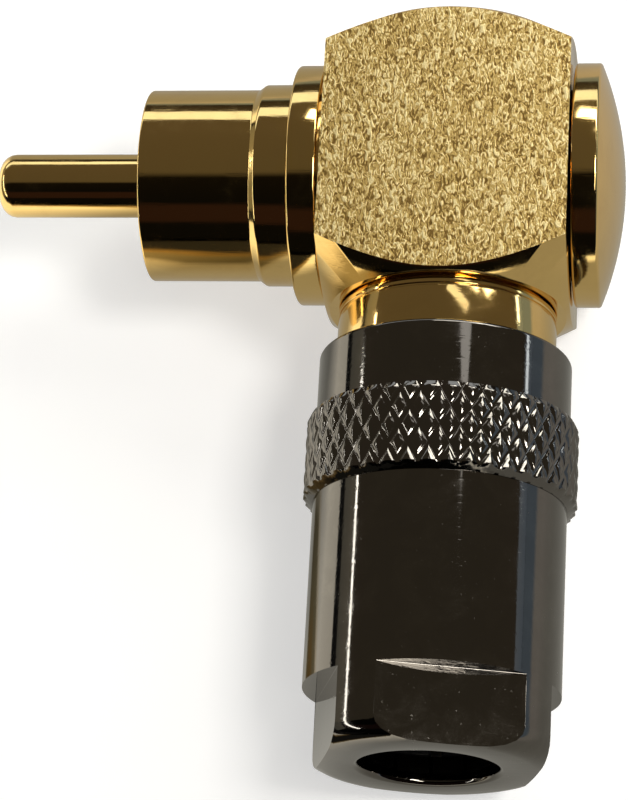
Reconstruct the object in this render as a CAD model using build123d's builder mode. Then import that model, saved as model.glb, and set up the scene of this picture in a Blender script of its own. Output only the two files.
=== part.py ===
from build123d import *
from math import asin, cos, degrees, pi, radians, sin, sqrt
import os

# A right-angle rca plug, in millimetres. X runs along the contact pin from the mouth of the contact sleeve,
# Y runs up the cable barrel, and Z points out of the frosted front of the elbow.

# Contact pin
pin_diameter = 3.2
pin_reach = 7.85
pin_nose_radius = 0.78
pin_shank_diameter = 2.6
pin_cup_length = 1.4
pin_cup_bore = 1.8
pin_cup_depth = 1.2

# Contact sleeve, turned in one piece with its collar, flange and threaded spigot
sleeve_bore = 8.3
sleeve_diameter = 9.6
sleeve_reach = 5.5
sleeve_edge = 0.1
collar_diameter = 10.1
collar_length = 2.0
collar_cone = 0.33
flange_length = 1.45
flange_edge = 0.15
undercut_diameter = 10.8
undercut_length = 0.2
spigot_diameter = 9.2
spigot_length = 2.8

# Insulators
socket_depth = 7.2
insulator_flange_length = 1.0
insulator_shank_diameter = 6.6
tail_insulator_diameter = 7.8
tail_insulator_length = 0.9

# Elbow block
block_width = 12.0
block_height = 14.0
block_end_diameter = 11.6
corner_drop = 1.8
block_edge = 0.4
chamber_diameter = 8.4

# End cap
cap_overhang = 0.05
cap_rim_length = 1.3
cap_edge = 0.2
cap_standoff = 0.1
dome_height = 1.15
cap_spigot_diameter = 10.0
cap_spigot_length = 2.4
cap_wall = 0.8
cap_disc_thickness = 0.6

# Neck tube, pressed into the elbow and threaded for the barrel
neck_step = 0.35
neck_length = 2.5
neck_spigot_wall = 0.9
port_wall = 0.2
neck_wall = 1.5
thread_diameter = 10.0
thread_length = 4.65
thread_chamfer = 0.3

# Ground lug, a ring with a solder tongue for the cable's braid
lug_ring_wall = 0.45
lug_ring_length = 1.2
tongue_width = 2.6
tongue_clearance = 3.1

# Barrel
barrel_length = 20.2
barrel_wall = 1.05
head_rise = 0.05
head_length = 3.3
head_edge = 0.12
band_rise = 0.5
band_length = 4.2
band_chamfer = 0.3
knurl_starts = 42
knurl_depth = 0.25
knurl_rows = 4
knurl_lip = 0.02
tail_radius = 1.1
flat_cut = 1.1
flat_length = 3.6
flat_turn = 15.5
entry_diameter = 6.6
entry_length = 1.4
entry_edge = 0.2

# Cable clamp inside the barrel
liner_wall = 0.5
thrust_ring_length = 0.8
thrust_ring_bore = 6.4
collet_length = 5.2
collet_foot_wall = 0.8
collet_bore = 6.2
collet_slots = 4
collet_slot_width = 0.6
collet_ring_length = 1.3
grip_groove_width = 0.3
grip_groove_depth = 0.12
grip_grooves = 1

# Clearances: a turning or sliding fit, a pressed or glued fit, and faces that meet
running_gap = 0.05
press_gap = 0.02
face_gap = 0.05

# Places along X
collar_x = sleeve_reach
flange_x = collar_x + collar_length
undercut_x = flange_x + flange_length
block_left_x = undercut_x + undercut_length
elbow_x = block_left_x + block_width / 2
block_right_x = block_left_x + block_width
spigot_end_x = block_left_x + spigot_length
insulator_seat_x = socket_depth + insulator_flange_length
tail_insulator_x = spigot_end_x + face_gap
pin_cup_x = tail_insulator_x + tail_insulator_length
pin_tail_x = pin_cup_x + pin_cup_length
cap_x = block_right_x + cap_standoff
cap_face_x = cap_x + cap_rim_length
cap_spigot_x = block_right_x - cap_spigot_length
cap_disc_x = cap_x - face_gap - cap_disc_thickness

# Distances down the barrel from the pin's axis
block_foot = block_height / 2
neck_spigot_top = max(spigot_diameter, cap_spigot_diameter) / 2 + port_wall
neck_foot = block_foot + neck_length
thread_foot = neck_foot + thread_length
barrel_head = neck_foot + face_gap
band_top = barrel_head + head_length
band_foot = band_top + band_length
barrel_foot = barrel_head + barrel_length
flat_top = barrel_foot - flat_length
entry_top = barrel_foot - entry_length
collet_foot = entry_top - face_gap
collet_top = collet_foot - collet_length
ring_foot = collet_top - face_gap
ring_top = ring_foot - thrust_ring_length
liner_foot = ring_top - face_gap
liner_top = thread_foot + face_gap
tongue_foot = ring_top - tongue_clearance

# Radii that one piece takes from another
pin_radius = pin_diameter / 2
shank_radius = pin_shank_diameter / 2
sleeve_bore_radius = sleeve_bore / 2
sleeve_radius = sleeve_diameter / 2
flange_radius = block_width / 2
spigot_radius = spigot_diameter / 2
insulator_shank_radius = insulator_shank_diameter / 2
cap_radius = block_width / 2 + cap_overhang
cap_spigot_radius = cap_spigot_diameter / 2
cap_cup_radius = cap_spigot_radius - cap_wall
cap_face_radius = cap_radius - cap_edge
dome_radius = (cap_face_radius**2 + dome_height**2) / (2 * dome_height)
dome_angle = degrees(asin(cap_face_radius / dome_radius))
thread_radius = thread_diameter / 2
neck_radius = thread_radius + neck_step
neck_bore_radius = thread_radius - neck_wall
neck_spigot_radius = neck_bore_radius + neck_spigot_wall
lug_outer_radius = neck_bore_radius + lug_ring_wall
barrel_bore_radius = thread_radius + running_gap
barrel_radius = barrel_bore_radius + barrel_wall
head_radius = barrel_radius + head_rise
band_radius = barrel_radius + band_rise
across_flats = 2 * (barrel_radius - flat_cut)
knurl_root_radius = band_radius - knurl_depth
knurl_rise = (band_length - 2 * band_chamfer) / knurl_rows
liner_radius = barrel_bore_radius - running_gap
entry_radius = entry_diameter / 2
collet_bore_radius = collet_bore / 2
collet_foot_radius = collet_bore_radius + collet_foot_wall
collet_slope = (liner_radius - collet_foot_radius) / collet_length
cone_foot_radius = barrel_bore_radius - (entry_top - collet_top) * collet_slope

# Barrel profiles are drawn on barrel_plane, with the radius across and the distance down the barrel
barrel_axis = Axis(origin=(elbow_x, 0, 0), direction=(0, -1, 0))
barrel_plane = Plane(origin=(elbow_x, 0, 0), x_dir=(1, 0, 0), z_dir=(0, 0, -1))


def across_barrel(distance):
    """The plane across the barrel at a distance down it, facing the cable's end."""
    return Plane(origin=(elbow_x, -distance, 0), x_dir=(1, 0, 0), z_dir=(0, -1, 0))


def rounding(centre, radius, start, end, bands):
    """Points along a turned rounding, from one angle to another, a band between each two."""
    angles = [radians(start + (end - start) * band / bands) for band in range(bands + 1)]
    return [(centre[0] + radius * cos(angle), centre[1] + radius * sin(angle)) for angle in angles]


# Contact pin: bullet nose, bearing length, shank through the insulators and solder cup
with BuildPart() as centre_pin:
    with BuildSketch(Plane.XY):
        with BuildLine():
            Polyline(
                *rounding((pin_nose_radius - pin_reach, pin_radius - pin_nose_radius), pin_nose_radius, 180, 90, 3),
                (socket_depth, pin_radius),
                (socket_depth, shank_radius),
                (pin_tail_x, shank_radius),
                (pin_tail_x, 0),
                (-pin_reach, 0),
                close=True,
            )
        make_face()
    revolve(axis=Axis.X)
    with BuildSketch(Plane.YZ.offset(pin_tail_x - pin_cup_depth)):
        Circle(pin_cup_bore / 2)
    extrude(amount=pin_cup_depth, mode=Mode.SUBTRACT)
    # the cup is cut open towards the barrel, where the core of the cable comes up
    with BuildSketch(Plane.YZ.offset(pin_tail_x - pin_cup_depth)):
        with Locations((-pin_shank_diameter / 2, 0)):
            Rectangle(pin_shank_diameter, pin_cup_bore)
    extrude(amount=pin_cup_depth, mode=Mode.SUBTRACT)

# Contact sleeve: mouth, collar and flange outside, threaded spigot and insulator bore inside
with BuildPart() as contact_sleeve:
    with BuildSketch(Plane.XY):
        with BuildLine():
            Polyline(
                (0, sleeve_bore_radius + sleeve_edge),
                (0, sleeve_radius - sleeve_edge),
                (sleeve_edge, sleeve_radius),
                (collar_x, sleeve_radius),
                (collar_x + collar_cone, collar_diameter / 2),
                (flange_x, collar_diameter / 2),
                (flange_x, flange_radius - flange_edge),
                (flange_x + flange_edge, flange_radius),
                (undercut_x - flange_edge, flange_radius),
                (undercut_x, flange_radius - flange_edge),
                (undercut_x, undercut_diameter / 2),
                (block_left_x, undercut_diameter / 2),
                (block_left_x, spigot_radius),
                (spigot_end_x, spigot_radius),
                (spigot_end_x, insulator_shank_radius + press_gap),
                (insulator_seat_x, insulator_shank_radius + press_gap),
                (insulator_seat_x, sleeve_bore_radius),
                (sleeve_edge, sleeve_bore_radius),
                close=True,
            )
        make_face()
    revolve(axis=Axis.X)

# Front insulator: the floor of the socket, with a shank through the spigot
with BuildPart() as front_insulator:
    with BuildSketch(Plane.XY):
        with BuildLine():
            Polyline(
                (socket_depth, shank_radius + press_gap),
                (socket_depth, sleeve_bore_radius - press_gap),
                (insulator_seat_x, sleeve_bore_radius - press_gap),
                (insulator_seat_x, insulator_shank_radius),
                (spigot_end_x, insulator_shank_radius),
                (spigot_end_x, shank_radius + press_gap),
                close=True,
            )
        make_face()
    revolve(axis=Axis.X)

# Tail insulator: a washer pushed onto the pin's shank behind the spigot
with BuildPart() as tail_insulator:
    with BuildSketch(Plane.YZ.offset(tail_insulator_x)):
        Circle(tail_insulator_diameter / 2)
        Circle(shank_radius + press_gap, mode=Mode.SUBTRACT)
    extrude(amount=tail_insulator_length)

# Elbow body: a square bar whose ends are turned to a cone about the barrel's axis, so each side ends in an arch
with BuildPart() as elbow_body:
    with BuildSketch(across_barrel(-block_foot)):
        RectangleRounded(block_width, block_width, block_edge)
    extrude(amount=block_height)
    with BuildSketch(barrel_plane):
        with BuildLine():
            corner_radius = block_width / sqrt(2)
            Polyline(
                (0, -block_foot),
                (block_end_diameter / 2, -block_foot),
                (corner_radius, corner_drop - block_foot),
                (corner_radius, block_foot - corner_drop),
                (block_end_diameter / 2, block_foot),
                (0, block_foot),
                close=True,
            )
        make_face()
    revolve(axis=barrel_axis, mode=Mode.INTERSECT)
    # sleeve port, chamber and cap port along X
    with BuildSketch(Plane.YZ.offset(block_left_x)):
        Circle(spigot_radius + press_gap)
    extrude(amount=spigot_length + face_gap, mode=Mode.SUBTRACT)
    with BuildSketch(Plane.YZ.offset(block_left_x)):
        Circle(chamber_diameter / 2)
    extrude(amount=block_width, mode=Mode.SUBTRACT)
    with BuildSketch(Plane.YZ.offset(cap_spigot_x - face_gap)):
        Circle(cap_spigot_radius + running_gap)
    extrude(amount=cap_spigot_length + face_gap, mode=Mode.SUBTRACT)
    # neck port from below
    with BuildSketch(across_barrel(0)):
        Circle(neck_bore_radius)
    extrude(amount=block_foot, mode=Mode.SUBTRACT)
    with BuildSketch(across_barrel(neck_spigot_top)):
        Circle(neck_spigot_radius + press_gap)
    extrude(amount=block_foot - neck_spigot_top, mode=Mode.SUBTRACT)

# End cap: domed outside, cupped inside, screwed into the elbow over the solder joint
with BuildPart() as end_cap:
    with BuildSketch(Plane.XY):
        with BuildLine():
            Polyline(
                *rounding((cap_face_x + dome_height - dome_radius, 0), dome_radius, 0, dome_angle, 4),
                (cap_face_x - cap_edge, cap_radius),
                (cap_x + cap_edge, cap_radius),
                (cap_x, cap_radius - cap_edge),
                (cap_x, cap_spigot_radius),
                (cap_spigot_x, cap_spigot_radius),
                (cap_spigot_x, cap_cup_radius),
                (cap_x, cap_cup_radius),
                (cap_x, 0),
                close=True,
            )
        make_face()
    revolve(axis=Axis.X)

# Cap insulator: a loose disc in the cup of the cap
with BuildPart() as cap_insulator:
    with BuildSketch(Plane.YZ.offset(cap_disc_x)):
        Circle(cap_cup_radius - running_gap)
    extrude(amount=cap_disc_thickness)

# Neck tube: spigot in the elbow, polished neck, thread for the barrel and a seat for the lug
with BuildPart() as neck_tube:
    with BuildSketch(barrel_plane):
        with BuildLine():
            Polyline(
                (neck_bore_radius, neck_spigot_top),
                (neck_spigot_radius, neck_spigot_top),
                (neck_spigot_radius, block_foot),
                (neck_radius, block_foot),
                (neck_radius, neck_foot),
                (thread_radius, neck_foot),
                (thread_radius, thread_foot - thread_chamfer),
                (thread_radius - thread_chamfer, thread_foot),
                (lug_outer_radius + press_gap, thread_foot),
                (lug_outer_radius + press_gap, thread_foot - lug_ring_length - face_gap),
                (neck_bore_radius, thread_foot - lug_ring_length - face_gap),
                close=True,
            )
        make_face()
    revolve(axis=barrel_axis)

# Ground lug: a ring in the end of the neck, with a curved tongue that hangs into the barrel
with BuildPart() as ground_lug:
    with BuildSketch(across_barrel(thread_foot - lug_ring_length)):
        Circle(lug_outer_radius)
        Circle(neck_bore_radius, mode=Mode.SUBTRACT)
    extrude(amount=lug_ring_length)
    with BuildSketch(across_barrel(thread_foot)):
        with Locations((0, -lug_outer_radius)):
            Rectangle(tongue_width, lug_outer_radius)
        Circle(lug_outer_radius, mode=Mode.INTERSECT)
        Circle(neck_bore_radius, mode=Mode.SUBTRACT)
    extrude(amount=tongue_foot - thread_foot)

def band_row(row):
    """The points of one row of the grip band: peaks and grooves by turns, or the plain ring at either end."""
    points = []
    for step in range(2 * knurl_starts):
        if row < 0:
            distance, radius = band_top, head_radius + knurl_lip
        elif row > knurl_rows:
            distance, radius = band_foot, barrel_radius + knurl_lip
        else:
            distance = band_top + band_chamfer + row * knurl_rise
            radius = knurl_root_radius if (row + step) % 2 else band_radius
        angle = pi * step / knurl_starts
        points.append((elbow_x + radius * sin(angle), -distance, radius * cos(angle)))
    return points


def knurled_core():
    """A solid whose side is a lattice of four-sided pyramids between crossing grooves, chamfered at both ends."""
    rows = [band_row(row) for row in range(-1, knurl_rows + 2)]
    sides = [rows[0], rows[-1]]
    for row, (upper, lower) in enumerate(zip(rows, rows[1:]), start=-1):
        for step in range(-1, 2 * knurl_starts - 1):
            corners = [upper[step], upper[step + 1], lower[step + 1], lower[step]]
            # the cell is folded from groove to groove
            if (row + step) % 2 == 0:
                corners = corners[1:] + corners[:1]
            sides += [corners[:3], corners[2:] + corners[:1]]
    return Solid(Shell([Face(Wire.make_polygon(side)) for side in sides]))


# Barrel: smooth head, raised grip band, smooth grip and a rounded tail with four flats for a wrench
with BuildPart() as barrel:
    with BuildSketch(barrel_plane):
        with BuildLine():
            Polyline(
                (0, barrel_head),
                (head_radius - head_edge, barrel_head),
                (head_radius, barrel_head + head_edge),
                (head_radius, band_top + band_chamfer),
                (barrel_radius, band_foot - band_chamfer),
                *rounding((barrel_radius - tail_radius, barrel_foot - tail_radius), tail_radius, 0, 90, 3),
                (0, barrel_foot),
                close=True,
            )
        make_face()
    revolve(axis=barrel_axis)
    add(knurled_core())
    with BuildSketch(barrel_plane):
        with BuildLine():
            Polyline(
                (0, barrel_head),
                (barrel_bore_radius, barrel_head),
                (barrel_bore_radius, collet_top),
                (cone_foot_radius, entry_top),
                (entry_radius, entry_top),
                (entry_radius, barrel_foot - entry_edge),
                (entry_radius + entry_edge, barrel_foot),
                (0, barrel_foot),
                close=True,
            )
        make_face()
    revolve(axis=barrel_axis, mode=Mode.SUBTRACT)
    with BuildSketch(across_barrel(flat_top)):
        Circle(2 * barrel_radius)
        Rectangle(across_flats, across_flats, rotation=-flat_turn, mode=Mode.SUBTRACT)
    extrude(amount=flat_length, mode=Mode.SUBTRACT)

# Barrel liner: an insulating tube between the end of the neck and the clamp
with BuildPart() as barrel_liner:
    with BuildSketch(across_barrel(liner_top)):
        Circle(liner_radius)
        Circle(liner_radius - liner_wall, mode=Mode.SUBTRACT)
    extrude(amount=liner_foot - liner_top)

# Thrust ring: lets the collet stay still while the barrel turns
with BuildPart() as thrust_ring:
    with BuildSketch(across_barrel(ring_top)):
        Circle(liner_radius)
        Circle(thrust_ring_bore / 2, mode=Mode.SUBTRACT)
    extrude(amount=thrust_ring_length)

# Cable collet: a split cone, squeezed onto the cable by the barrel's tail, with grip grooves in its fingers
with BuildPart() as cable_collet:
    with BuildSketch(barrel_plane):
        with BuildLine():
            Polyline(
                (collet_bore_radius, collet_top),
                (liner_radius, collet_top),
                (collet_foot_radius, collet_foot),
                (collet_bore_radius, collet_foot),
                close=True,
            )
        make_face()
    revolve(axis=barrel_axis)
    finger_top = collet_top + collet_ring_length
    groove_pitch = (collet_foot - finger_top) / (grip_grooves + 1)
    for groove in range(grip_grooves):
        with BuildSketch(across_barrel(finger_top + groove_pitch * (groove + 1) - grip_groove_width / 2)):
            Circle(collet_bore_radius + grip_groove_depth)
        extrude(amount=grip_groove_width, mode=Mode.SUBTRACT)
    with BuildSketch(across_barrel(finger_top)):
        with PolarLocations(liner_radius / 2, collet_slots):
            Rectangle(liner_radius * 1.1, collet_slot_width)
    extrude(amount=collet_foot - finger_top, mode=Mode.SUBTRACT)

pieces = {
    "centre_pin": centre_pin,
    "contact_sleeve": contact_sleeve,
    "front_insulator": front_insulator,
    "tail_insulator": tail_insulator,
    "elbow_body": elbow_body,
    "end_cap": end_cap,
    "cap_insulator": cap_insulator,
    "neck_tube": neck_tube,
    "ground_lug": ground_lug,
    "barrel": barrel,
    "barrel_liner": barrel_liner,
    "thrust_ring": thrust_ring,
    "cable_collet": cable_collet,
}

os.makedirs("parts", exist_ok=True)
for name, piece in pieces.items():
    piece.part.label = name
    export_step(piece.part, f"parts/{name}.step")
    print(f"{name}: {piece.part.volume:.3f} mm3, {len(piece.part.solids())} solid")
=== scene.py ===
"""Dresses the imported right-angle plug: turned gilt contacts, a blasted elbow and a dark plated barrel."""
import logging
from collections.abc import Sequence
from dataclasses import dataclass, field
from enum import Enum
from math import asin, ceil, cos, hypot, pi, radians, sin, tau

import bmesh
import bpy
from bmesh.types import BMEdge, BMesh, BMVert
from bpy.types import NodeSocket
from mathutils import Matrix, Quaternion, Vector


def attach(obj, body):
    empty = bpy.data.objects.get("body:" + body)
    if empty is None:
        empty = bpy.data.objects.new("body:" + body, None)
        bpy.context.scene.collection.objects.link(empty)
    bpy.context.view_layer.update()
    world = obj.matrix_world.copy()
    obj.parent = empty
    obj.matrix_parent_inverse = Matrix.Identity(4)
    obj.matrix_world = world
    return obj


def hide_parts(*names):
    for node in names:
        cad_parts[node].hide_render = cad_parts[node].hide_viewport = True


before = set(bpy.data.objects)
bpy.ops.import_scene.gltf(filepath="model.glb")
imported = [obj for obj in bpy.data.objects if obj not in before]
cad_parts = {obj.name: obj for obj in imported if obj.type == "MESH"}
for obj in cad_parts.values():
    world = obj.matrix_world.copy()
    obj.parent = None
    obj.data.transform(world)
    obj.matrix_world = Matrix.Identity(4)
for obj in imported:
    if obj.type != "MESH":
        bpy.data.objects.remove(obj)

log = logging.getLogger("plug")

Colour = tuple[float, float, float]
Place = tuple[float, float, float]

MM = 0.001
ELBOW_X = 15.15
BED = -6.6
ROUND_STEPS = 216
THREAD_STEPS = 96
ROUNDING_SEGMENTS = 5
SHARP_ANGLE = radians(32)
CUT = 1e-5
ON_AXIS = 1e-4
NEAR = 1e-3
FLAT = 0.99
WHITE = (1.0, 1.0, 1.0, 1.0)


class Lie(Enum):
    """How a piece turned about its own Z axis lies in the plug."""

    CONTACT = "along the pin's axis, towards the cap"
    BARREL = "down the barrel, towards the cable"

    def matrix(self) -> Matrix:
        """The move from the lathe to the plug, in millimetres."""
        if self is Lie.CONTACT:
            return Matrix.Rotation(radians(90), 4, "Y")
        return Matrix.Translation((ELBOW_X, 0, 0)) @ Matrix.Rotation(radians(90), 4, "X")


@dataclass(frozen=True)
class Corner:
    """One corner of a turned outline: its place along the axis, its radius and its rounding."""

    along: float
    radius: float
    rounding: float = 0.0


@dataclass
class Lathe:
    """Turns outlines about the Z axis and keeps the mesh that it makes, in millimetres."""

    steps: int = ROUND_STEPS
    mesh: BMesh = field(default_factory=bmesh.new)

    def turn(self, corners: Sequence[Corner], closed: bool = True, angle: float = tau) -> list[BMVert]:
        """Turns one outline.

        Args:
            corners: The outline's corners in order, the rounded ones with their rounding.
            closed: Whether the last corner joins the first; an open outline ends on the axis.
            angle: How far it turns; less than a full turn leaves a slot with flat ends.

        Returns:
            The vertices of the new shell.
        """
        before = set(self.mesh.verts)
        verts = [self.mesh.verts.new((c.radius, 0, c.along)) for c in corners]
        pairs = list(zip(verts, verts[1:]))
        if closed:
            pairs.append((verts[-1], verts[0]))
        for first, second in pairs:
            self.mesh.edges.new((first, second))
        for rounding in sorted({c.rounding for c in corners if c.rounding > 0}):
            bmesh.ops.bevel(
                self.mesh,
                geom=[v for v, c in zip(verts, corners) if c.rounding == rounding],
                offset=rounding,
                offset_type="OFFSET",
                segments=ROUNDING_SEGMENTS,
                profile=0.5,
                affect="VERTICES",
                material=-1,
            )
        drawn = [v for v in self.mesh.verts if v not in before]
        lines = list({e for v in drawn for e in v.link_edges})
        whole = abs(angle - tau) < CUT
        if closed and not whole:
            face = bmesh.ops.contextual_create(self.mesh, geom=lines)["faces"]
            lines = lines + face
        bmesh.ops.spin(
            self.mesh,
            geom=drawn + lines,
            cent=(0, 0, 0),
            axis=(0, 0, 1),
            angle=angle,
            steps=max(8, round(self.steps * angle / tau)),
            use_merge=whole,
        )
        made = [v for v in self.mesh.verts if v not in before]
        on_axis = [v for v in made if hypot(v.co.x, v.co.y) < ON_AXIS]
        if on_axis:
            bmesh.ops.remove_doubles(self.mesh, verts=on_axis, dist=NEAR)
        return [v for v in made if v.is_valid]

    def arc(self, centre: float, start: float, angle: float, steps: int) -> list[Corner]:
        """Spins one vertex into an arc that begins on the axis.

        Args:
            centre: Where the arc's centre is along the axis.
            start: Where the arc begins along the axis.
            angle: The arc's angle, towards larger radii.
            steps: How many steps it has.

        Returns:
            The arc's corners in order, from the axis outwards.
        """
        scratch = bmesh.new()
        first = scratch.verts.new((0, 0, start))
        turned = angle if start > centre else -angle
        bmesh.ops.spin(scratch, geom=[first], cent=(0, 0, centre), axis=(0, 1, 0), angle=turned, steps=steps)
        places = sorted((round(v.co.x, 7), v.co.z) for v in scratch.verts)
        scratch.free()
        return [Corner(along, radius) for radius, along in places]

    def thread(
        self, radius: float, depth: float, pitch: float, start: float, end: float, core: float
    ) -> None:
        """Cuts a right-handed thread as a closed sleeve of its own.

        Args:
            radius: The crest's radius.
            depth: How deep the root lies.
            pitch: The advance of one turn.
            start: Where the thread begins along the axis.
            end: Where it ends along the axis.
            core: The radius of the sleeve's hidden inner wall.
        """
        before = set(self.mesh.verts)
        turns = ceil((end - start) / pitch) + 2
        path = []
        for turn in range(turns):
            foot = start + (turn - 1) * pitch
            path += [(radius - depth, foot), (radius - depth, foot + pitch * 0.2)]
            path += [(radius, foot + pitch * 0.53), (radius, foot + pitch * 0.67)]
        verts = [self.mesh.verts.new((r, 0, z)) for r, z in path]
        edges = [self.mesh.edges.new(pair) for pair in zip(verts, verts[1:])]
        bmesh.ops.spin(
            self.mesh,
            geom=verts + edges,
            cent=(0, 0, 0),
            axis=(0, 0, 1),
            dvec=(0, 0, pitch / THREAD_STEPS),
            angle=-tau,
            steps=THREAD_STEPS,
        )
        made = [v for v in self.mesh.verts if v not in before]
        bmesh.ops.remove_doubles(self.mesh, verts=made, dist=NEAR)
        for place, outwards in ((start, -1), (end, 1)):
            made = [v for v in self.mesh.verts if v not in before]
            bmesh.ops.bisect_plane(
                self.mesh,
                geom=linked(made),
                dist=CUT,
                plane_co=(0, 0, place),
                plane_no=(0, 0, outwards),
                clear_outer=True,
            )
        made = [v for v in self.mesh.verts if v not in before]
        rim = [e for e in {e for v in made for e in v.link_edges} if e.is_boundary]
        inner = bmesh.ops.extrude_edge_only(self.mesh, edges=rim)["geom"]
        for vert in (v for v in inner if isinstance(v, BMVert)):
            flat = Vector((vert.co.x, vert.co.y)).normalized() * core
            vert.co.x, vert.co.y = flat
        made = [v for v in self.mesh.verts if v not in before]
        loops = [e for e in {e for v in made for e in v.link_edges} if e.is_boundary]
        bmesh.ops.bridge_loops(self.mesh, edges=loops)


def linked(verts: Sequence[BMVert]) -> list:
    """The vertices with the edges and faces that lie wholly among them."""
    chosen = set(verts)
    edges = {e for v in chosen for e in v.link_edges if all(w in chosen for w in e.verts)}
    faces = {f for v in chosen for f in v.link_faces if all(w in chosen for w in f.verts)}
    return list(chosen) + list(edges) + list(faces)


def ease(mesh: BMesh, edges: Sequence[BMEdge], offset: float, segments: int) -> None:
    """Bevels edges: one segment makes a flat chamfer, more make it round.

    Args:
        mesh: The mesh that they are in.
        edges: The edges.
        offset: How far the bevel reaches on each side.
        segments: How many segments it has.
    """
    bmesh.ops.bevel(
        mesh,
        geom=edges,
        offset=offset,
        offset_type="OFFSET",
        segments=segments,
        profile=0.5,
        affect="EDGES",
        clamp_overlap=True,
        material=-1,
    )


class Nodes:
    """A short way to write a node tree."""

    def __init__(self, tree: bpy.types.NodeTree) -> None:
        """Empties the tree and keeps it."""
        self.tree = tree
        tree.nodes.clear()

    def add(
        self, kind: str, inputs: dict[str | int, object] | None = None, **settings: object
    ) -> bpy.types.Node:
        """Adds one node.

        Args:
            kind: Its type name without the ShaderNode in front.
            inputs: What its sockets get: a value, or a socket of another node.
            settings: Its own settings.

        Returns:
            The node.
        """
        node = self.tree.nodes.new("ShaderNode" + kind)
        for name, value in settings.items():
            setattr(node, name, value)
        for name, value in (inputs or {}).items():
            if isinstance(value, NodeSocket):
                self.tree.links.new(value, node.inputs[name])
            else:
                node.inputs[name].default_value = value
        return node

    def ramp(self, fac: NodeSocket, stops: Sequence[tuple[float, Colour]]) -> NodeSocket:
        """A straight colour ramp over a value.

        Args:
            fac: The value.
            stops: Places and colours, in order.

        Returns:
            The ramp's colour.
        """
        node = self.add("ValToRGB", {"Fac": fac})
        elements = node.color_ramp.elements
        while len(elements) < len(stops):
            elements.new(1.0)
        for element, (place, colour) in zip(elements, stops):
            element.position = place
            element.color = (*colour, 1.0)
        return node.outputs["Color"]

    def scaled(
        self, value: NodeSocket, low: float, high: float, to_low: float, to_high: float
    ) -> NodeSocket:
        """A value mapped from one range to another, kept inside it."""
        node = self.add(
            "MapRange",
            {"Value": value, "From Min": low, "From Max": high, "To Min": to_low, "To Max": to_high},
        )
        return node.outputs["Result"]

    def maths(self, operation: str, first: object, second: object = 0.0) -> NodeSocket:
        """One sum of two values."""
        return self.add("Math", {0: first, 1: second}, operation=operation).outputs[0]

    def noise(self, place: NodeSocket, scale: float, detail: float, **inputs: float) -> NodeSocket:
        """A noise over the piece.

        Args:
            place: The place on the piece.
            scale: How many of its grains go into a metre.
            detail: Its detail.
            inputs: Its roughness and its distortion, where they aren't Blender's own.

        Returns:
            Its value.
        """
        node = self.add("TexNoise", {"Vector": place, "Scale": scale, "Detail": detail} | inputs)
        return node.outputs["Fac"]

    def bump(self, height: NodeSocket, distance: float, **inputs: object) -> NodeSocket:
        """A bump of one height, in millimetres."""
        node = self.add("Bump", {"Strength": 1.0, "Distance": distance * MM, "Height": height} | inputs)
        return node.outputs["Normal"]


def begin(name: str) -> tuple[bpy.types.Material, Nodes, NodeSocket]:
    """Begins a material.

    Args:
        name: Its name.

    Returns:
        The material, its nodes and the place on the piece.
    """
    material = bpy.data.materials.new(name)
    material.use_nodes = True
    nodes = Nodes(material.node_tree)
    return material, nodes, nodes.add("TexCoord").outputs["Object"]


def grey(level: float) -> Colour:
    """A grey of one level."""
    return (level, level, level)


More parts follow.
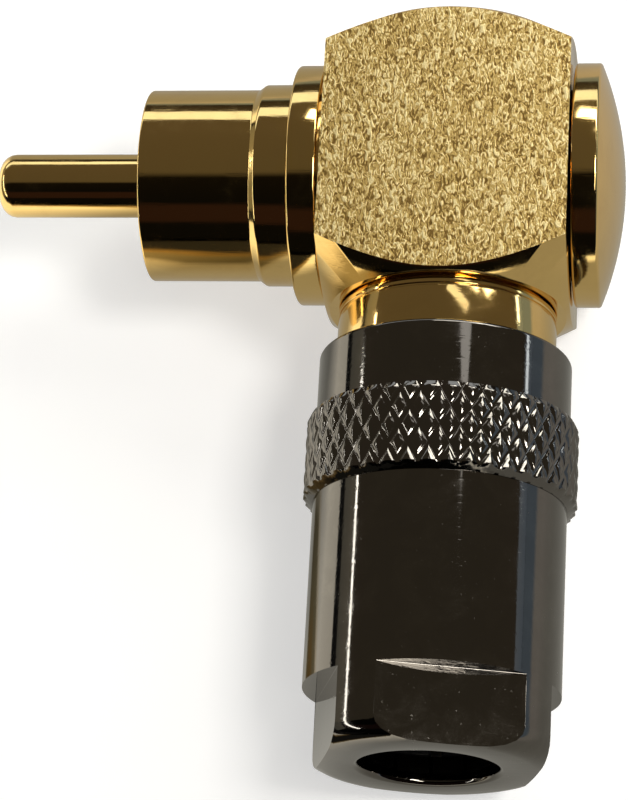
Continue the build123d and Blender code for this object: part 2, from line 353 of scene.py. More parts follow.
@dataclass(frozen=True)
class PolishedMetal:
    """A plated, polished finish with smudges, fine scratches and, where asked, dents and light flecks.

    Sizes are in millimetres, and the scratches' scale is a noise's, to the metre.
    """

    name: str
    colour: Colour
    worn: Colour
    roughness: float = 0.06
    smudged: float = 0.2
    smudge_size: float = 2.5
    scratch_depth: float = 0.0006
    scratch_scale: float = 250.0
    tint: float = 0.35
    dents: float = 0.0
    dent_size: float = 0.35
    flecks: float = 0.0
    fleck_size: float = 0.16

    def make(self) -> bpy.types.Material:
        """Makes the material."""
        material, nodes, place = begin(self.name)
        clouds = nodes.noise(place, 1 / (self.smudge_size * MM), 5.0, Roughness=0.6, Distortion=0.8)
        fine = nodes.noise(place, 9 / (self.smudge_size * MM), 3.0, Roughness=0.7)
        smudges = nodes.maths(
            "MULTIPLY", nodes.scaled(clouds, 0.45, 0.75, 0.0, 1.0), nodes.scaled(fine, 0.3, 0.7, 0.4, 1.0)
        )
        colour = nodes.add(
            "Mix",
            {0: nodes.maths("MULTIPLY", smudges, self.tint), 6: (*self.colour, 1), 7: (*self.worn, 1)},
            data_type="RGBA",
        ).outputs[2]
        rough = nodes.scaled(smudges, 0.0, 1.0, self.roughness, self.smudged)
        if self.flecks:
            specks = nodes.noise(place, 1 / (self.fleck_size * MM), 1.0, Distortion=0.5)
            fleck = nodes.maths("MULTIPLY", nodes.scaled(specks, 0.73, 0.78, 0.0, 1.0), self.flecks)
            rough = nodes.maths("ADD", rough, fleck)
        normal = nodes.bump(self.scratches(nodes, place), self.scratch_depth)
        if self.dents:
            knocks = nodes.noise(place, 1 / (self.dent_size * MM), 2.0)
            normal = nodes.bump(knocks, self.dents, Normal=normal)
        shader = nodes.add(
            "BsdfPrincipled", {"Base Color": colour, "Metallic": 1.0, "Roughness": rough, "Normal": normal}
        )
        nodes.add("OutputMaterial", {"Surface": shader.outputs[0]})
        return material

    def scratches(self, nodes: Nodes, place: NodeSocket) -> NodeSocket:
        """Fine scratches that run several ways.

        Args:
            nodes: The material's nodes.
            place: The place on the piece.

        Returns:
            Their height, from 0 in a scratch to 1 beside it.
        """
        marks = []
        for turn, stretch in ((0.5, 9.0), (2.1, 14.0), (-0.7, 11.0)):
            across = self.scratch_scale * stretch
            laid = nodes.add(
                "Mapping",
                {
                    "Vector": place,
                    "Rotation": (turn, 0.6 * turn, turn * 1.7),
                    "Scale": (self.scratch_scale, across, across),
                },
            ).outputs["Vector"]
            marks.append(nodes.scaled(nodes.noise(laid, 1.0, 2.0, Roughness=0.5), 0.60, 0.66, 1.0, 0.0))
        return nodes.maths("MINIMUM", nodes.maths("MINIMUM", marks[0], marks[1]), marks[2])


@dataclass(frozen=True)
class BlastedMetal:
    """The blasted front of the elbow: short worm-like strokes whose colour carries painted highlights on the
    grains and painted shade in the pits.

    Sizes are in millimetres, and the drift's scale is a noise's, to the metre.
    """

    name: str
    colour: Colour
    # The grain colour is a painted highlight and the pit colour is painted shade; the strokes' height lays
    # them.
    painted_highlight: Colour
    painted_pit_shade: Colour
    roughness: float = 0.42
    stroke_size: float = 0.17
    drift_scale: float = 350.0
    depth: float = 0.03

    def make(self) -> bpy.types.Material:
        """Makes the material."""
        material, nodes, place = begin(self.name)
        drawn_out = nodes.add("Mapping", {"Vector": place, "Scale": (1.0, 0.5, 1.0)}).outputs["Vector"]
        strokes = nodes.noise(drawn_out, 1 / (self.stroke_size * MM), 1.0, Roughness=0.5, Distortion=1.4)
        grains = nodes.noise(place, 3 / (self.stroke_size * MM), 2.0, Roughness=0.7)
        drift = nodes.noise(place, self.drift_scale, 2.0)
        height = nodes.maths("ADD", strokes, nodes.maths("MULTIPLY", grains, 0.3))
        drifting = nodes.maths("MULTIPLY", drift, 0.12)
        # Painted light: the colour is darker where the strokes lie low and brighter where they stand high, as
        # shade and highlights would fall.
        painted_light_tone = nodes.maths("ADD", nodes.maths("MULTIPLY", strokes, 0.88), drifting)
        stops = ((0.38, self.painted_pit_shade), (0.48, self.colour), (0.54, self.colour), (0.60, self.painted_highlight))
        colour = nodes.ramp(painted_light_tone, stops)
        rough = nodes.scaled(grains, 0.3, 0.7, self.roughness - 0.08, self.roughness + 0.12)
        normal = nodes.bump(height, self.depth)
        shader = nodes.add(
            "BsdfPrincipled", {"Base Color": colour, "Metallic": 1.0, "Roughness": rough, "Normal": normal}
        )
        nodes.add("OutputMaterial", {"Surface": shader.outputs[0]})
        return material


@dataclass(frozen=True)
class PlasticFinish:
    """A plastic with faint mottling and tool marks, both scales to the metre."""

    name: str
    colour: Colour
    shade: Colour
    roughness: float = 0.4
    waxy: float = 0.0
    mottle_scale: float = 900.0
    ring_scale: float = 1500.0

    def make(self) -> bpy.types.Material:
        """Makes the material."""
        material, nodes, place = begin(self.name)
        mottle = nodes.noise(place, self.mottle_scale, 4.0, Roughness=0.6)
        rings = nodes.add(
            "TexWave",
            {"Vector": place, "Scale": self.ring_scale, "Distortion": 0.4},
            wave_type="RINGS",
            rings_direction="X",
        ).outputs["Fac"]
        colour = nodes.ramp(mottle, ((0.35, self.shade), (0.65, self.colour)))
        height = nodes.maths("ADD", nodes.maths("MULTIPLY", rings, 0.5), mottle)
        rough = nodes.scaled(mottle, 0.3, 0.7, self.roughness - 0.06, self.roughness + 0.1)
        inputs = {"Base Color": colour, "Roughness": rough, "Normal": nodes.bump(height, 0.002, Strength=0.6)}
        if self.waxy:
            inputs |= {
                "Subsurface Weight": self.waxy,
                "Subsurface Radius": (0.0006, 0.0005, 0.0004),
                "Subsurface Scale": 1.0,
            }
        shader = nodes.add("BsdfPrincipled", inputs)
        nodes.add("OutputMaterial", {"Surface": shader.outputs[0]})
        return material


class Finish(Enum):
    """The finishes of the plug."""

    GOLD = PolishedMetal("gold_plate_polished", (0.86, 0.60, 0.225), (0.62, 0.40, 0.15), roughness=0.07)
    # Its last two colours are a painted highlight for the grains and painted shade for the pits.
    BLASTED = BlastedMetal(
        "gold_plate_blasted", (0.60, 0.415, 0.138), (0.90, 0.745, 0.385), (0.22, 0.13, 0.035)
    )
    BLACK = PolishedMetal(
        "dark_chrome",
        (0.16, 0.148, 0.132),
        (0.22, 0.205, 0.18),
        roughness=0.05,
        smudged=0.13,
        smudge_size=1.8,
        tint=0.6,
        flecks=0.2,
    )
    GRIP = PolishedMetal(
        "dark_chrome_grip",
        (0.16, 0.148, 0.132),
        (0.2, 0.185, 0.165),
        roughness=0.08,
        smudged=0.12,
        smudge_size=0.8,
        dents=0.006,
    )
    WHITE = PlasticFinish("white_insulator_plastic", (0.88, 0.86, 0.80), (0.78, 0.76, 0.70), waxy=0.3)
    LINER = PlasticFinish("liner_smooth_plastic", (0.03, 0.03, 0.033), (0.02, 0.02, 0.022), roughness=0.35)
    COLLET = PlasticFinish(
        "collet_moulded_plastic", (0.012, 0.012, 0.014), (0.008, 0.008, 0.009), roughness=0.45
    )


class Shop:
    """Makes each finish once and turns meshes into pieces of the plug."""

    def __init__(self) -> None:
        """Makes the materials."""
        self.materials = {finish: finish.value.make() for finish in Finish}

    def piece(
        self,
        mesh: BMesh,
        name: str,
        body: str,
        slot: str,
        nodes: Sequence[str],
        finishes: Sequence[Finish],
        lie: Lie,
    ) -> bpy.types.Object:
        """Puts a finished mesh in its place in the plug.

        Args:
            mesh: The mesh on the lathe, in millimetres; it is freed.
            name: The piece's name.
            body: The body that it rides on.
            slot: The record's material slot; not used.
            nodes: The nodes that it stands for.
            finishes: Its finishes, in the order of its faces' material numbers. Faces of the first are shaded
                smooth, and those of the second stay flat.
            lie: How it lies in the plug.

        Returns:
            The piece.
        """
        bmesh.ops.recalc_face_normals(mesh, faces=mesh.faces)
        bmesh.ops.transform(mesh, matrix=Matrix.Scale(MM, 4) @ lie.matrix(), verts=mesh.verts)
        for face in mesh.faces:
            face.smooth = face.material_index == 0
        data = bpy.data.meshes.new(name)
        mesh.to_mesh(data)
        mesh.free()
        data.set_sharp_from_angle(angle=SHARP_ANGLE)
        piece = bpy.data.objects.new(name, data)
        bpy.context.scene.collection.objects.link(piece)
        weighted = piece.modifiers.new("flat faces stay flat", "WEIGHTED_NORMAL")
        weighted.keep_sharp = True
        for finish in finishes:
            data.materials.append(self.materials[finish])
        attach(piece, body)
        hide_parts(*nodes)
        log.info("%s: %d faces, rides on %s", name, len(data.polygons), body)
        return piece

    def dress(self, node: str, finish: Finish) -> None:
        """Gives a node of the frame its finish."""
        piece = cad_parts[node]
        piece.data.materials.clear()
        piece.data.materials.append(self.materials[finish])
        log.info("%s: dressed as %s", node, finish.name.lower())


@dataclass
class Contacts:
    """The contact pin and the contact sleeve round it."""

    pin: float = 1.6
    reach: float = 7.85
    nose: float = 0.78
    shank: float = 1.3
    seat: float = 7.2
    tail: float = 14.3
    cup: float = 0.9
    cup_depth: float = 1.2
    bore: float = 4.15
    sleeve: float = 4.8
    collar: float = 5.05
    collar_at: float = 5.5
    collar_cone: float = 0.33
    flange: float = 6.0
    flange_at: float = 7.5
    undercut: float = 5.4
    undercut_at: float = 8.95
    block_at: float = 9.15
    spigot: float = 4.6
    spigot_end: float = 11.95
    insulator_at: float = 8.2
    insulator_hole: float = 3.32

    def make_pin(self, shop: Shop) -> None:
        """Turns the pin, with its nose, its shank and the split cup at its tail."""
        lathe = Lathe()
        cup_at = self.tail - self.cup_depth
        lathe.turn(
            (
                Corner(-self.reach, 0),
                Corner(-self.reach, self.pin, self.nose),
                Corner(self.seat, self.pin, 0.1),
                Corner(self.seat, self.shank),
                Corner(cup_at, self.shank),
                Corner(cup_at, 0),
            ),
            closed=False,
        )
        opening = 2 * asin(self.cup / self.shank)
        wall = lathe.turn(
            (
                Corner(cup_at - 0.05, self.cup),
                Corner(cup_at - 0.05, self.shank - 0.01),
                Corner(self.tail, self.shank - 0.01),
                Corner(self.tail, self.cup),
            ),
            angle=tau - opening,
        )
        upright = Matrix.Rotation(opening / 2 - pi / 2, 3, "Z")
        bmesh.ops.rotate(lathe.mesh, verts=wall, cent=(0, 0, 0), matrix=upright)
        shop.piece(
            lathe.mesh, "pin_turned", "elbow", "gold_plate", ["centre_pin"], [Finish.GOLD], Lie.CONTACT
        )

    def make_sleeve(self, shop: Shop) -> None:
        """Turns the sleeve with its collar, its flange and the thin groove before the elbow."""
        lathe = Lathe()
        lathe.turn(
            (
                Corner(0, self.bore, 0.12),
                Corner(0, self.sleeve, 0.1),
                Corner(self.collar_at, self.sleeve, 0.05),
                Corner(self.collar_at + self.collar_cone, self.collar, 0.08),
                Corner(self.flange_at, self.collar),
                Corner(self.flange_at, self.flange, 0.15),
                Corner(self.undercut_at, self.flange, 0.1),
                Corner(self.undercut_at, self.undercut),
                Corner(self.block_at, self.undercut),
                Corner(self.block_at, self.spigot),
                Corner(self.spigot_end, self.spigot, 0.2),
                Corner(self.spigot_end, self.insulator_hole),
                Corner(self.insulator_at, self.insulator_hole),
                Corner(self.insulator_at, self.bore),
            )
        )
        shop.piece(
            lathe.mesh, "sleeve_turned", "elbow", "gold_plate", ["contact_sleeve"], [Finish.GOLD], Lie.CONTACT
        )

    def make(self, shop: Shop) -> None:
        """Makes both contacts and dresses the insulators between them."""
        self.make_pin(shop)
        self.make_sleeve(shop)
        shop.dress("front_insulator", Finish.WHITE)
        shop.dress("tail_insulator", Finish.WHITE)


@dataclass
class Elbow:
    """The square elbow: a bar with coned ends, blasted in front and polished elsewhere, and its cap port."""

    half_width: float = 6.0
    foot: float = 7.0
    end_radius: float = 5.8
    drop: float = 1.8
    edge: float = 0.14
    arch_edge: float = 0.22
    arch_angle: float = radians(20)
    port: float = 5.05
    port_segments: int = 120
    port_depth: float = 2.45
    chamber: float = 4.2
    chamber_depth: float = 11.8

    def make(self, shop: Shop) -> None:
        """Turns the bar, cuts its four sides, chamfers its edges and sinks the cap port."""
        lathe = Lathe()
        corner = hypot(self.half_width, self.half_width)
        lathe.turn(
            (
                Corner(-self.foot, 0),
                Corner(-self.foot, self.end_radius),
                Corner(self.drop - self.foot, corner),
                Corner(self.foot - self.drop, corner),
                Corner(self.foot, self.end_radius),
                Corner(self.foot, 0),
            ),
            closed=False,
        )
        mesh = lathe.mesh
        for side in ((1, 0, 0), (-1, 0, 0), (0, 1, 0), (0, -1, 0)):
            bmesh.ops.bisect_plane(
                mesh,
                geom=mesh.verts[:] + mesh.edges[:] + mesh.faces[:],
                dist=CUT,
                plane_co=Vector(side) * self.half_width,
                plane_no=side,
                clear_outer=True,
            )
            rim = [e for e in mesh.edges if e.is_boundary]
            bmesh.ops.contextual_create(mesh, geom=rim)
        self.chamfer_edges(mesh)
        self.sink_port(mesh)
        for face in mesh.faces:
            if face.calc_center_median().y > self.half_width - NEAR and abs(face.normal.y) > FLAT:
                face.material_index = 1
        shop.piece(
            mesh,
            "elbow_block",
            "elbow",
            "frosted_gold",
            ["elbow_body"],
            [Finish.GOLD, Finish.BLASTED],
            Lie.BARREL,
        )

    def chamfer_edges(self, mesh: BMesh) -> None:
        """Chamfers the bar's four long edges and the arches of its ends."""
        bmesh.ops.remove_doubles(mesh, verts=mesh.verts, dist=ON_AXIS)
        long_edges = []
        arches = []
        for edge in mesh.edges:
            on_sides = [sum(abs(abs(c) - self.half_width) < NEAR for c in v.co.xy) for v in edge.verts]
            at_end = all(abs(v.co.z) > self.foot - self.drop - NEAR for v in edge.verts)
            if all(n == 2 for n in on_sides) and abs(edge.verts[0].co.z - edge.verts[1].co.z) > 1:
                long_edges.append(edge)
            elif all(n >= 1 for n in on_sides) and at_end:
                if len(edge.link_faces) == 2 and edge.calc_face_angle(0) > self.arch_angle:
                    arches.append(edge)
        ease(mesh, long_edges, self.edge, 1)
        ease(mesh, [e for e in arches if e.is_valid], self.arch_edge, 1)

    def sink_port(self, mesh: BMesh) -> None:
        """Sinks the port for the cap, and the solder chamber behind it, into the face on the cap's side."""
        mesh.normal_update()
        beside = [f for f in mesh.faces if f.calc_center_median().x > self.half_width - NEAR]
        side = max(beside, key=lambda f: f.calc_area())
        rim = list(side.edges)
        bmesh.ops.delete(mesh, geom=[side], context="FACES_ONLY")
        turned = Matrix.Translation((self.half_width, 0, 0)) @ Matrix.Rotation(radians(90), 4, "Y")
        circle = bmesh.ops.create_circle(
            mesh, cap_ends=False, segments=self.port_segments, radius=self.port, matrix=turned
        )
        ring = circle["verts"]
        loop = list({e for v in ring for e in v.link_edges})
        bmesh.ops.triangle_fill(mesh, edges=rim + loop, use_beauty=True)
        steps = (
            (self.port_depth, self.port),
            (self.port_depth, self.chamber),
            (self.chamber_depth, self.chamber),
        )
        for inwards, radius in steps:
            new = bmesh.ops.extrude_edge_only(mesh, edges=loop)["geom"]
            for vert in (v for v in new if isinstance(v, BMVert)):
                flat = Vector((vert.co.y, vert.co.z)).normalized() * radius
                vert.co = (self.half_width - inwards, flat.x, flat.y)
            loop = [e for e in new if isinstance(e, BMEdge) and len(e.link_faces) == 1]
        bmesh.ops.contextual_create(mesh, geom=loop)


@dataclass
class EndCap:
    """The domed cap that screws into the elbow over the solder joint."""

    rim: float = 6.05
    at: float = 21.25
    face_at: float = 22.55
    dome: float = 1.15
    edge: float = 0.08
    spigot: float = 5.0
    spigot_at: float = 18.75
    cup: float = 4.2
    pitch: float = 0.75
    thread_depth: float = 0.4

    def make(self, shop: Shop) -> None:
        """Turns the cap with its dome, its cup and its thread."""
        lathe = Lathe()
        dome_radius = self.rim - self.edge
        sphere = (dome_radius**2 + self.dome**2) / (2 * self.dome)
        apex = self.face_at + self.dome
        arc = lathe.arc(apex - sphere, apex, asin(dome_radius / sphere), 40)
        core = self.spigot - 0.45
        lathe.turn(
            (
                *arc,
                Corner(self.face_at - self.edge, self.rim, 0.04),
                Corner(self.at, self.rim, 0.14),
                Corner(self.at, self.spigot - 0.25),
                Corner(self.at - 0.25, core),
                Corner(self.spigot_at, core),
                Corner(self.spigot_at, self.cup, 0.1),
                Corner(self.at, self.cup),
                Corner(self.at, 0),
            ),
            closed=False,
        )
        start, end = self.spigot_at + 0.05, self.at - 0.3
        lathe.thread(self.spigot, self.thread_depth, self.pitch, start, end, self.cup + 0.1)
        shop.piece(lathe.mesh, "cap_turned", "end_cap", "gold_plate", ["end_cap"], [Finish.GOLD], Lie.CONTACT)
        shop.dress("cap_insulator", Finish.WHITE)


@dataclass
class Neck:
    """The gold neck between the elbow and the barrel, with its thread."""

    bore: float = 3.5
    spigot: float = 4.4
    spigot_top: float = 5.2
    radius: float = 5.35
    top: float = 7.0
    foot: float = 9.5
    gap: float = 0.1
    gap_depth: float = 0.25
    groove_at: float = 7.4
    groove_width: float = 0.12
    groove_depth: float = 0.08
    thread: float = 5.0
    thread_foot: float = 14.15
    seat: float = 3.97
    seat_depth: float = 1.25
    pitch: float = 0.75
    thread_depth: float = 0.42

    def make(self, shop: Shop) -> None:
        """Turns the neck with its hairline groove and cuts its thread."""
        lathe = Lathe()
        core = self.thread - 0.5
        inner = self.radius - self.groove_depth
        lathe.turn(
            (
                Corner(self.spigot_top, self.bore),
                Corner(self.spigot_top, self.spigot),
                Corner(self.top, self.spigot),
                Corner(self.top, self.radius - self.gap_depth),
                Corner(self.top + self.gap, self.radius - self.gap_depth),
                Corner(self.top + self.gap, self.radius, 0.05),
                Corner(self.groove_at, self.radius, 0.03),
                Corner(self.groove_at, inner),
                Corner(self.groove_at + self.groove_width, inner),
                Corner(self.groove_at + self.groove_width, self.radius, 0.03),
                Corner(self.foot, self.radius, 0.12),
                Corner(self.foot, core),
                Corner(self.thread_foot, core, 0.08),
                Corner(self.thread_foot, self.seat),
                Corner(self.thread_foot - self.seat_depth, self.seat),
                Corner(self.thread_foot - self.seat_depth, self.bore),
            )
        )
        start, end = self.foot + 0.3, self.thread_foot - 0.15
        lathe.thread(self.thread, self.thread_depth, self.pitch, start, end, self.seat + 0.1)
        shop.piece(lathe.mesh, "neck_turned", "elbow", "gold_plate", ["neck_tube"], [Finish.GOLD], Lie.BARREL)
        shop.dress("ground_lug", Finish.GOLD)


def polar(radius: float, angle: float, along: float) -> Place:
    """A place by its radius, its angle and its height on the axis."""
    return (radius * cos(angle), radius * sin(angle), along)


def draw_in(vert: BMVert, radius: float) -> None:
    """Moves a vertex straight towards the axis, to one radius."""
    reach = hypot(vert.co.x, vert.co.y)
    vert.co.x *= radius / reach
    vert.co.y *= radius / reach


@dataclass
class Knurl:
    """The raised diamonds of the grip band: low pyramids with facets in steps, between crossing grooves.

    Each step of the crown is a share of the diamond's size and how far that ring lies under the radius.
    """

    radius: float = 6.6
    depth: float = 0.165
    starts: int = 42
    rise: float = 0.9
    rows: int = 5
    top: float = 12.85
    foot: float = 17.05
    chamfer: float = 0.3
    top_ring: float = 6.45
    foot_ring: float = 6.12
    inner: float = 5.95
    crown: tuple[tuple[float, float], ...] = ((0.86, 0.150), (0.62, 0.088), (0.36, 0.043), (0.13, 0.012))

    def make(self, mesh: BMesh) -> None:
        """Adds the band to the barrel's mesh: one column of diamonds, spun round and trimmed to the band."""
        before = set(mesh.verts)
        middle = (self.top + self.foot) / 2
        reach = self.rows // 2 + 1
        for row in range(-reach, reach + 1):
            self.diamond(mesh, pi / self.starts * ((row + 1) % 2), middle + row * self.rise)
        column = [v for v in mesh.verts if v not in before]
        bmesh.ops.remove_doubles(mesh, verts=column, dist=NEAR)
        column = [v for v in mesh.verts if v not in before]
        bmesh.ops.spin(
            mesh,
            geom=linked(column),
            cent=(0, 0, 0),
            axis=(0, 0, 1),
            angle=tau,
            steps=self.starts,
            use_duplicate=True,
        )
        made = [v for v in mesh.verts if v not in before]
        bmesh.ops.remove_doubles(mesh, verts=made, dist=NEAR)
        self.trim(mesh, before)
        for face in {f for v in mesh.verts if v not in before for f in v.link_faces}:
            face.material_index = 1

    def diamond(self, mesh: BMesh, turn: float, at: float) -> None:
        """Makes one diamond.

        Args:
            mesh: The mesh that it is added to.
            turn: Its angle round the barrel.
            at: Its middle along the barrel.
        """
        half = pi / self.starts
        ways = ((-1, 0), (0, 1), (1, 0), (0, -1))
        low = self.radius - self.depth
        corners = [polar(low, turn + x * half, at + y * self.rise) for x, y in ways]
        face = mesh.faces.new([mesh.verts.new(corner) for corner in corners])
        for share, drop in self.crown:
            bmesh.ops.inset_individual(mesh, faces=[face], thickness=0.0)
            for vert, (x, y) in zip(face.verts, ways):
                vert.co = polar(self.radius - drop, turn + x * half * share, at + y * self.rise * share)

    def trim(self, mesh: BMesh, before: set[BMVert]) -> None:
        """Cuts the band at its two ends, chamfers it there and closes it inwards.

        Args:
            mesh: The barrel's mesh.
            before: The vertices that aren't the band's.
        """
        cuts = [(self.top, -1, True), (self.foot, 1, True)]
        for part in (0.25, 0.5, 0.75, 1.0):
            cuts += [(self.top + self.chamfer * part, 1, False), (self.foot - self.chamfer * part, 1, False)]
        for place, outwards, clear in cuts:
            made = [v for v in mesh.verts if v not in before]
            bmesh.ops.bisect_plane(
                mesh,
                geom=linked(made),
                dist=CUT,
                plane_co=(0, 0, place),
                plane_no=(0, 0, outwards),
                clear_outer=clear,
            )
        made = [v for v in mesh.verts if v not in before]
        for vert in made:
            into, ring = min((vert.co.z - self.top, self.top_ring), (self.foot - vert.co.z, self.foot_ring))
            if into < self.chamfer:
                limit = ring + (self.radius - ring) * max(into, 0) / self.chamfer
                if hypot(vert.co.x, vert.co.y) > limit:
                    draw_in(vert, limit)
        rim = [e for e in {e for v in made for e in v.link_edges} if e.is_boundary]
        new = bmesh.ops.extrude_edge_only(mesh, edges=rim)["geom"]
        for vert in (v for v in new if isinstance(v, BMVert)):
            draw_in(vert, self.inner)
        made = [v for v in mesh.verts if v not in before]
        loops = [e for e in {e for v in made for e in v.link_edges} if e.is_boundary]
        bmesh.ops.bridge_loops(mesh, edges=loops)


@dataclass
class Barrel:
    """The dark cable barrel: smooth head, knurled band, smooth grip and a tail with four wrench flats."""

    head_at: float = 9.55
    head: float = 6.15
    band_at: float = 12.85
    band_foot: float = 17.05
    grip: float = 6.1
    foot: float = 29.75
    tail_rounding: float = 1.1
    flat_at: float = 26.15
    flat_half: float = 5.0
    flat_turn: float = 15.5
    flat_edge: float = 0.09
    flat_corners: int = 12
    sharp_angle: float = radians(12)
    entry: float = 3.3
    entry_at: float = 28.35
    bore: float = 5.05
    cone_at: float = 23.1
    cone_foot: float = 3.939
    under_band: float = 6.05
    knurl: Knurl = field(default_factory=Knurl)

    def make(self, shop: Shop) -> None:
        """Turns the barrel, cuts its flats and adds its band."""
        lathe = Lathe()
        lathe.turn(
            (
                Corner(self.head_at, self.bore, 0.1),
                Corner(self.head_at, self.head, 0.2),
                Corner(self.band_at, self.head, 0.03),
                Corner(self.band_at + 0.12, self.under_band),
                Corner(self.band_foot - 0.1, self.under_band),
                Corner(self.band_foot, self.grip, 0.03),
                Corner(self.flat_at, self.grip),
                Corner(self.foot, self.grip, self.tail_rounding),
                Corner(self.foot, self.entry, 0.26),
                Corner(self.entry_at, self.entry),
                Corner(self.entry_at, self.cone_foot),
                Corner(self.cone_at, self.bore),
            )
        )
        for quarter in range(4):
            self.cut_flat(lathe.mesh, radians(90 * quarter - self.flat_turn))
        self.ease_flats(lathe.mesh)
        self.knurl.make(lathe.mesh)
        shop.piece(
            lathe.mesh,
            "barrel_turned",
            "barrel",
            "black_chrome",
            ["barrel"],
            [Finish.BLACK, Finish.GRIP],
            Lie.BARREL,
        )
        shop.dress("barrel_liner", Finish.LINER)
        shop.dress("thrust_ring", Finish.WHITE)
        shop.dress("cable_collet", Finish.COLLET)

    def cut_flat(self, mesh: BMesh, angle: float) -> None:
        """Cuts one flat into the tail, with the square shoulder above it.

        Args:
            mesh: The barrel's mesh.
            angle: The way that the flat faces, round the barrel's axis.
        """
        facing = Vector((cos(angle), sin(angle), 0))
        top = self.flat_at - ON_AXIS
        tail = [v for v in mesh.verts if v.co.z > top]
        bmesh.ops.bisect_plane(
            mesh,
            geom=linked(tail),
            dist=CUT,
            plane_co=facing * self.flat_half,
            plane_no=facing,
            clear_outer=False,
        )
        beyond = [
            f for f in mesh.faces
            if all(v.co.z > top and v.co.dot(facing) > self.flat_half - ON_AXIS for v in f.verts)
        ]
        bmesh.ops.delete(mesh, geom=beyond, context="FACES")
        rim = [e for e in mesh.edges if e.is_boundary]
        in_plane = [e for e in rim if all(abs(v.co.dot(facing) - self.flat_half) < NEAR for v in e.verts)]
        shoulder = [e for e in rim if e not in in_plane]
        ends = [v for v in {v for e in in_plane for v in e.verts} if any(e in shoulder for e in v.link_edges)]
        chord = mesh.edges.new(ends)
        bmesh.ops.contextual_create(mesh, geom=in_plane + [chord])
        bmesh.ops.contextual_create(mesh, geom=shoulder + [chord])

    def ease_flats(self, mesh: BMesh) -> None:
        """Takes the sharpness off the flats' outlines and shoulders."""
        mesh.normal_update()
        sharp = [
            e for e in mesh.edges
            if len(e.link_faces) == 2
            and any(len(f.verts) > self.flat_corners for f in e.link_faces)
            and e.is_convex
            and e.calc_face_angle(0) > self.sharp_angle
            and all(v.co.z > self.flat_at - NEAR for v in e.verts)
        ]
        ease(mesh, sharp, self.flat_edge, 2)


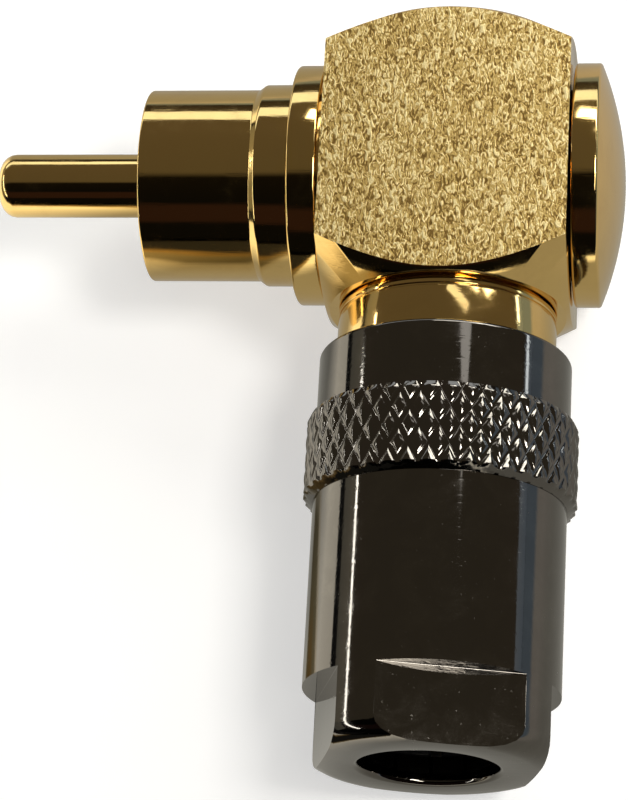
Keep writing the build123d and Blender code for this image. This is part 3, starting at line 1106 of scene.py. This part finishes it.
@dataclass
class Studio:
    """The floor, the lamps, the surroundings that the metal mirrors, and the camera."""

    camera_at: Place = (0.028959, -0.063908, 0.140165)
    camera_turn: Place = (0.3581, 0.1311, 0.0328)
    lens: float = 139.07
    sensor: float = 36.0
    aim: Place = (0.015, -0.01, 0.0)
    floor_radius: float = 1.6
    floor_lift: float = 0.56

    def make(self) -> None:
        """Sets the whole studio up."""
        self.make_camera()
        self.make_floor()
        self.make_lamps()
        self.make_world()
        bpy.context.scene.view_settings.view_transform = "Standard"
        log.info("studio: camera, floor, lamps and world")

    def make_camera(self) -> None:
        """Puts the camera where the photograph was taken from."""
        data = bpy.data.cameras.new("camera")
        data.lens = self.lens
        data.sensor_width = self.sensor
        data.clip_start = 0.002
        data.clip_end = 20.0
        camera = bpy.data.objects.new("camera", data)
        turn = Vector(self.camera_turn)
        rotation = Quaternion(turn.normalized(), turn.length).to_matrix().to_4x4()
        camera.matrix_world = Matrix.Translation(self.camera_at) @ rotation
        bpy.context.scene.collection.objects.link(camera)
        bpy.context.scene.camera = camera

    def make_floor(self) -> None:
        """Lays a pale floor that stays white for the camera and keeps the plug's shadow; for glossy rays it
        glows with a painted reflection instead.
        """
        mesh = bmesh.new()
        bmesh.ops.create_circle(mesh, cap_ends=True, segments=64, radius=self.floor_radius)
        bmesh.ops.translate(mesh, verts=mesh.verts, vec=(ELBOW_X * MM, 0, BED * MM))
        data = bpy.data.meshes.new("floor")
        mesh.to_mesh(data)
        mesh.free()
        floor = bpy.data.objects.new("floor", data)
        bpy.context.scene.collection.objects.link(floor)
        material, nodes, place = begin("pale_floor")
        mottle = nodes.noise(place, 60.0, 4.0)
        colour = nodes.ramp(mottle, ((0.3, (0.60, 0.60, 0.59)), (0.7, (0.63, 0.63, 0.62))))
        paper = nodes.add("BsdfDiffuse", {"Color": colour})
        path = nodes.add("LightPath")
        lift = nodes.maths("MULTIPLY", path.outputs["Is Camera Ray"], self.floor_lift)
        glow = nodes.add("Emission", {"Color": WHITE, "Strength": lift})
        both = nodes.add("AddShader", {0: paper.outputs[0], 1: glow.outputs[0]})
        # Glossy rays see a glowing painted reflection of the floor, with painted light and painted shadow, in
        # place of the lit paper.
        painted_reflection_glow = nodes.add("Emission", {"Color": self.painted_floor_reflection(nodes, place), "Strength": 1.0})
        mix = nodes.add(
            "MixShader", {0: path.outputs["Is Glossy Ray"], 1: both.outputs[0], 2: painted_reflection_glow.outputs[0]}
        )
        nodes.add("OutputMaterial", {"Surface": mix.outputs[0]})
        data.materials.append(material)

    def painted_floor_reflection(self, nodes: Nodes, place: NodeSocket) -> NodeSocket:
        """The floor's painted reflection, a glow that the metal mirrors in place of the lit paper.

        It is painted light, brighter than white at the left and bluish far at the right, with painted shade
        close at the plug's right and painted shadow before the sleeve.

        Args:
            nodes: The floor's nodes.
            place: The place on the floor.

        Returns:
            Its colour.
        """
        way = nodes.add("SeparateXYZ", {"Vector": place})
        slant = nodes.maths("ADD", way.outputs["X"], nodes.maths("MULTIPLY", way.outputs["Y"], 0.5))
        left, right = -0.10, 0.10
        # Painted light and shade across the floor: dark at the far left, brighter than white at the left,
        # painted shade close right of the plug, bluish far right.
        stops = (
            (-0.088, grey(0.02)),
            (-0.080, (1.40, 1.34, 1.18)),
            (-0.018, (1.45, 1.38, 1.20)),
            (-0.010, (0.80, 0.77, 0.68)),
            (-0.005, (0.36, 0.35, 0.31)),
            (0.024, (0.37, 0.36, 0.32)),
            (0.037, (0.49, 0.46, 0.42)),
            (0.055, (0.50, 0.47, 0.43)),
            (0.070, (0.22, 0.28, 0.35)),
        )
        side = nodes.ramp(
            nodes.scaled(slant, left, right, 0.0, 1.0),
            [((x - left) / (right - left), colour) for x, colour in stops],
        )
        # Painted shadow: the floor close in front of the pin and the sleeve turns dark, through brownish
        # greys, and fades to white behind and to the right.
        leftwards = nodes.maths("MULTIPLY", nodes.maths("MINIMUM", way.outputs["X"], 0.0), 1.6)
        painted_shadow_fade = nodes.scaled(nodes.maths("SUBTRACT", way.outputs["Y"], leftwards), -0.030, -0.005, 0.0, 1.0)
        beside = nodes.scaled(way.outputs["X"], 0.0015, 0.0045, 0.0, 1.0)
        front = nodes.ramp(
            nodes.maths("MAXIMUM", beside, painted_shadow_fade),
            (
                (0.08, grey(0.02)),
                (0.34, (0.30, 0.20, 0.08)),
                (0.48, (0.28, 0.24, 0.15)),
                (0.62, (0.30, 0.26, 0.17)),
                (0.72, (0.85, 0.78, 0.66)),
                (0.90, grey(1.0)),
            ),
        )
        mixed = nodes.add("Mix", {0: 1.0, 6: side, 7: front}, data_type="RGBA", blend_type="MULTIPLY")
        return mixed.outputs[2]

    def lamp(self, name: str, at: Place, size: tuple[float, float], radiance: float, colour: Colour) -> None:
        """Hangs one softbox that faces the plug.

        Args:
            name: Its name.
            at: Where it hangs, in metres.
            size: Its width and height, in metres.
            radiance: How bright its face is, where 1 is white.
            colour: Its colour.
        """
        data = bpy.data.lights.new(name, "AREA")
        data.shape = "RECTANGLE"
        data.size, data.size_y = size
        data.energy = radiance * pi * size[0] * size[1]
        data.color = colour
        lamp = bpy.data.objects.new(name, data)
        facing = (Vector(self.aim) - Vector(at)).to_track_quat("-Z", "Y").to_matrix().to_4x4()
        lamp.matrix_world = Matrix.Translation(at) @ facing
        bpy.context.scene.collection.objects.link(lamp)

    def make_lamps(self) -> None:
        """Hangs the softboxes: three behind, one high up, two at the left, two at the right and two keys."""
        self.lamp("back_strip", (0.0, 0.45, 0.168), (1.0, 0.115), 1.4, (0.92, 1.0, 1.08))
        self.lamp("back_near", (0.067, 0.15, 0.16), (0.165, 0.046), 6.0, (1.0, 1.0, 0.95))
        self.lamp("back_right", (0.150, 0.150, 0.136), (0.10, 0.05), 7.0, (1.0, 1.0, 0.95))
        self.lamp("ceiling", (0.135, 0.213, 0.435), (0.20, 0.05), 1.3, (1.0, 1.0, 1.0))
        self.lamp("left_strip", (-0.40, -0.09, 0.128), (0.53, 0.018), 8.0, (1.0, 1.0, 0.98))
        self.lamp("left_wall", (-0.41, 0.12, 0.055), (0.9, 0.10), 0.21, (1.0, 0.97, 0.80))
        self.lamp("right_wall", (0.61, 0.17, 0.045), (0.30, 0.085), 0.34, (0.70, 0.92, 1.20))
        self.lamp("right_window", (0.59, 0.255, 0.06), (0.12, 0.03), 3.5, (0.85, 0.95, 1.05))
        self.lamp("key", (0.20, -0.03, 0.36), (0.10, 0.10), 25.0, (1.0, 0.97, 0.93))
        self.lamp("front_key", (0.15, -0.13, 0.36), (0.13, 0.05), 9.0, (1.0, 0.97, 0.90))

    def make_world(self) -> None:
        """Makes the surroundings: white for the camera, else a dim warm room with a dark front."""
        world = bpy.data.worlds.new("surroundings")
        world.use_nodes = True
        nodes = Nodes(world.node_tree)
        way = nodes.add("SeparateXYZ", {"Vector": nodes.add("TexCoord").outputs["Generated"]})
        turn = nodes.maths("ARCTAN2", way.outputs["Y"], way.outputs["Z"])
        across = nodes.scaled(turn, -pi, pi, 0.0, 1.0)
        black = grey(0.004)
        sill = (0.024, 0.012, 0.010)
        low = (0.30, 0.28, 0.25)
        # Degrees from overhead towards the back.
        stops = (
            (-100, low),
            (-92, black),
            (-70, black),
            (-66, sill),
            (-48, sill),
            (-44, black),
            (-14, (0.006, 0.005, 0.004)),
            (-8, (0.10, 0.085, 0.06)),
            (62, (0.11, 0.09, 0.065)),
            (90, (0.03, 0.025, 0.02)),
            (100, low),
        )
        room = nodes.ramp(across, [(0.5 + angle / 360, colour) for angle, colour in stops])
        path = nodes.add("LightPath")
        unseen = nodes.add("Background", {"Color": room, "Strength": 1.0})
        seen = nodes.add("Background", {"Color": WHITE, "Strength": 1.0})
        mix = nodes.add(
            "MixShader", {0: path.outputs["Is Camera Ray"], 1: unseen.outputs[0], 2: seen.outputs[0]}
        )
        nodes.add("OutputWorld", {"Surface": mix.outputs[0]})
        bpy.context.scene.world = world


def main() -> None:
    """Builds the plug's sub-assemblies in order, then the studio."""
    logging.basicConfig(level=logging.INFO, format="%(name)s %(message)s")
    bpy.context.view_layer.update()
    shop = Shop()
    for assembly in (Contacts(), Elbow(), EndCap(), Neck(), Barrel()):
        assembly.make(shop)
        log.info("made %s", type(assembly).__name__.lower())
    Studio().make()


if __name__ == "__main__":
    main()
